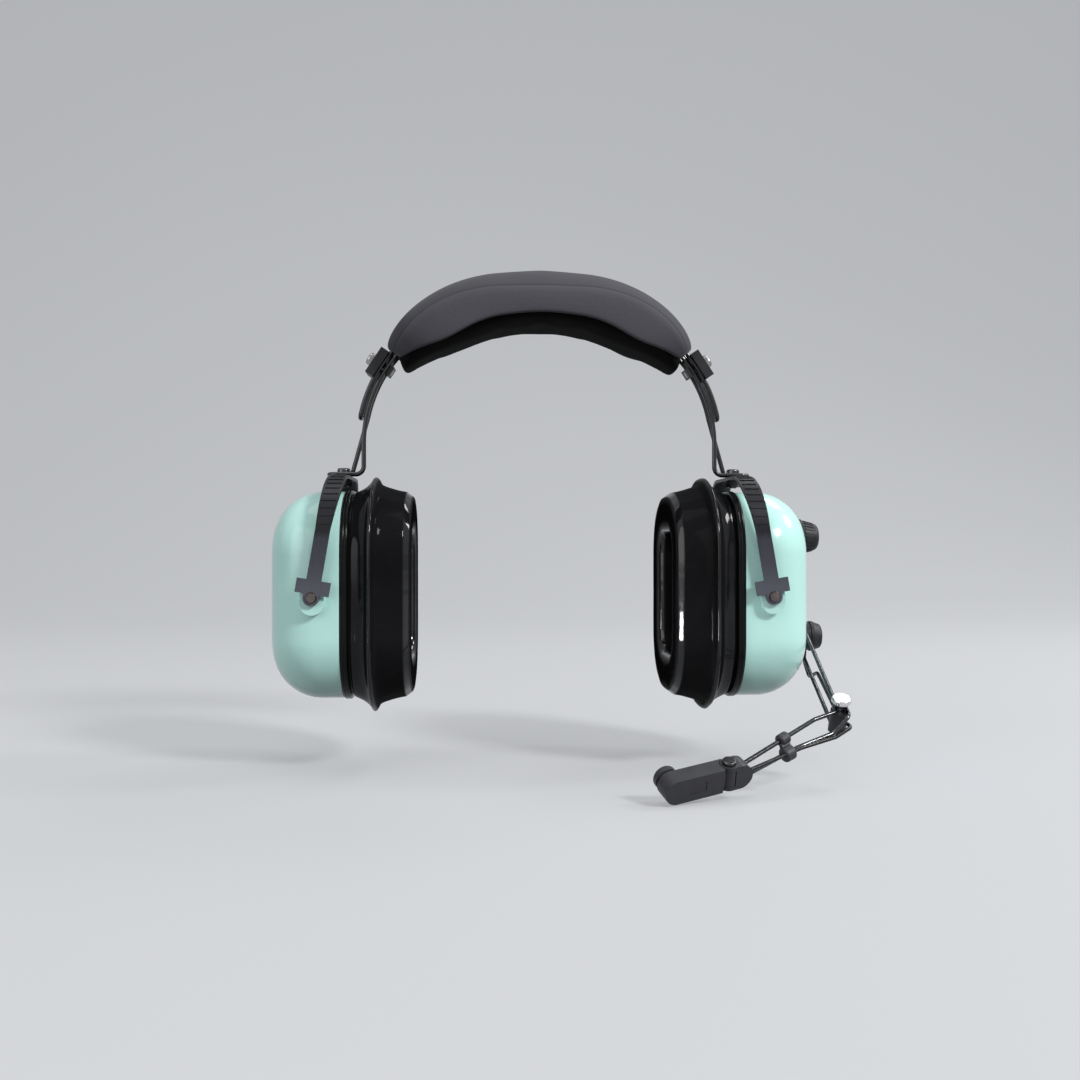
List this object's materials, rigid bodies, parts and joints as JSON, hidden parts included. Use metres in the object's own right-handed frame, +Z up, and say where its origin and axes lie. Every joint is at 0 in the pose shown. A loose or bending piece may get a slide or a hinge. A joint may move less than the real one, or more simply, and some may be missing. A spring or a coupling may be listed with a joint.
{
  "type": "aviation headset",
  "caption": "Over-ear aviation headset with a sprung wire headband, padded top, domed ear cups in stirrups and a wire boom microphone on the left cup.",
  "frame": {"origin": "middle of the head pad's underside, where it rests on the top of the head", "axes": "+Z up, +X towards the wearer's left (the cup with the boom), the wearer faces -Y"},
  "size_m": [0.2711, 0.1563, 0.2434],
  "materials": {
    "wire_black": "gloss",
    "pad_fabric": "matte",
    "cushion_black": "satin",
    "clamp_black": "satin",
    "screw_steel": "satin",
    "stirrup_black": "satin",
    "pin_brown": "satin",
    "dome_mint": "gloss",
    "ring_black": "gloss",
    "inner_plastic": "matte",
    "seal_black": "gloss",
    "foam_grey": "matte",
    "knob_black": "satin",
    "board_green": "satin",
    "boom_steel": "satin",
    "lead_black": "gloss",
    "mic_grey": "satin",
    "chrome": "polished"
  },
  "bodies": {
    "headband": {"overhead_spring": "wire_black", "pad_cover": "pad_fabric", "head_cushion": "cushion_black", "left_clamp_block": "clamp_black", "left_clamp_bar": "clamp_black", "right_clamp_block": "clamp_black", "right_clamp_bar": "clamp_black"},
    "left_thumb_screw": {"left_clamp_screw": "screw_steel"},
    "left_slider": {"left_slide_wire": "wire_black", "left_swivel_screw": "screw_steel", "left_swivel_nut": "screw_steel"},
    "left_yoke": {"left_stirrup": "stirrup_black", "left_pivot_pins": "pin_brown"},
    "left_cup": {"left_dome": "dome_mint", "left_cup_ring": "ring_black", "left_baffle": "inner_plastic", "left_baffle_screws": "screw_steel", "left_speaker": "inner_plastic", "left_foam_liner": "foam_grey", "left_acoustic_foam": "foam_grey", "left_ear_seal": "seal_black", "volume_pot": "screw_steel", "amplifier_board": "board_green", "cord_inlet": "lead_black", "boom_base": "knob_black", "boom_stud": "screw_steel"},
    "right_thumb_screw": {"right_clamp_screw": "screw_steel"},
    "right_slider": {"right_slide_wire": "wire_black", "right_swivel_screw": "screw_steel", "right_swivel_nut": "screw_steel"},
    "right_yoke": {"right_stirrup": "stirrup_black", "right_pivot_pins": "pin_brown"},
    "right_cup": {"right_dome": "dome_mint", "right_cup_ring": "ring_black", "right_baffle": "inner_plastic", "right_baffle_screws": "screw_steel", "right_speaker": "inner_plastic", "right_foam_liner": "foam_grey", "right_acoustic_foam": "foam_grey", "right_ear_seal": "seal_black"},
    "volume_control": {"volume_shaft": "screw_steel", "volume_knob": "knob_black"},
    "boom_clamp": {"boom_knob": "knob_black"},
    "upper_boom": {"boom_hub": "knob_black", "boom_wires": "boom_steel", "boom_lead": "lead_black", "elbow_block": "mic_grey"},
    "elbow_lock": {"elbow_screw": "chrome"},
    "lower_boom": {"lower_boom_wire": "boom_steel", "lower_boom_lead": "lead_black", "wire_clip": "mic_grey", "mic_bracket": "mic_grey", "mic_screw": "screw_steel"},
    "microphone": {"mic_housing": "mic_grey", "mic_cover": "mic_grey", "mic_capsule": "screw_steel", "mic_cap": "mic_grey"}
  },
  "joints": [
    {"name": "left_clamp_turn", "type": "hinge", "parent": "headband", "child": "left_thumb_screw", "pos_m": [0.07837, 0, -0.02136], "axis": [0.8339, 0, 0.5519], "range_deg": [0, 360]},
    {"name": "left_height_slide", "type": "hinge", "parent": "headband", "child": "left_slider", "pos_m": [0.02, 0, -0.06], "axis": [0, 1, 0], "range_deg": [0, 14]},
    {"name": "left_swivel", "type": "hinge", "parent": "left_slider", "child": "left_yoke", "pos_m": [0.0973, 0, -0.0764], "axis": [0, 0, 1], "range_deg": [-10, 10]},
    {"name": "left_cup_tilt", "type": "hinge", "parent": "left_yoke", "child": "left_cup", "pos_m": [0.1072, 0, -0.134], "axis": [0, 1, 0], "range_deg": [-12, 3]},
    {"name": "right_clamp_turn", "type": "hinge", "parent": "headband", "child": "right_thumb_screw", "pos_m": [-0.07837, 0, -0.02136], "axis": [-0.8339, 0, 0.5519], "range_deg": [0, 360]},
    {"name": "right_height_slide", "type": "hinge", "parent": "headband", "child": "right_slider", "pos_m": [-0.02, 0, -0.06], "axis": [0, -1, 0], "range_deg": [0, 14]},
    {"name": "right_swivel", "type": "hinge", "parent": "right_slider", "child": "right_yoke", "pos_m": [-0.0973, 0, -0.0764], "axis": [0, 0, -1], "range_deg": [-10, 10]},
    {"name": "right_cup_tilt", "type": "hinge", "parent": "right_yoke", "child": "right_cup", "pos_m": [-0.1072, 0, -0.134], "axis": [0, -1, 0], "range_deg": [-12, 3]},
    {"name": "volume_turn", "type": "hinge", "parent": "left_cup", "child": "volume_control", "pos_m": [0.1294, 0, -0.106], "axis": [1, 0, 0], "range_deg": [-150, 150]},
    {"name": "boom_clamp_turn", "type": "hinge", "parent": "left_cup", "child": "boom_clamp", "pos_m": [0.1294, 0, -0.156], "axis": [1, 0, 0], "range_deg": [0, 180]},
    {"name": "boom_swing", "type": "hinge", "parent": "left_cup", "child": "upper_boom", "pos_m": [0.1294, 0, -0.156], "axis": [-1, 0, 0], "range_deg": [-30, 85]},
    {"name": "elbow_screw_turn", "type": "hinge", "parent": "upper_boom", "child": "elbow_lock", "pos_m": [0.13195, -0.06344, -0.18558], "axis": [0, -0.4226, 0.9063], "range_deg": [0, 180]},
    {"name": "elbow_bend", "type": "hinge", "parent": "upper_boom", "child": "lower_boom", "pos_m": [0.13195, -0.06344, -0.18558], "axis": [0, -0.4226, 0.9063], "range_deg": [-20, 45]},
    {"name": "mic_turn", "type": "hinge", "parent": "lower_boom", "child": "microphone", "pos_m": [0.07456, -0.09432, -0.20649], "axis": [0, -0.4226, 0.9063], "range_deg": [-25, 25]}
  ]
}
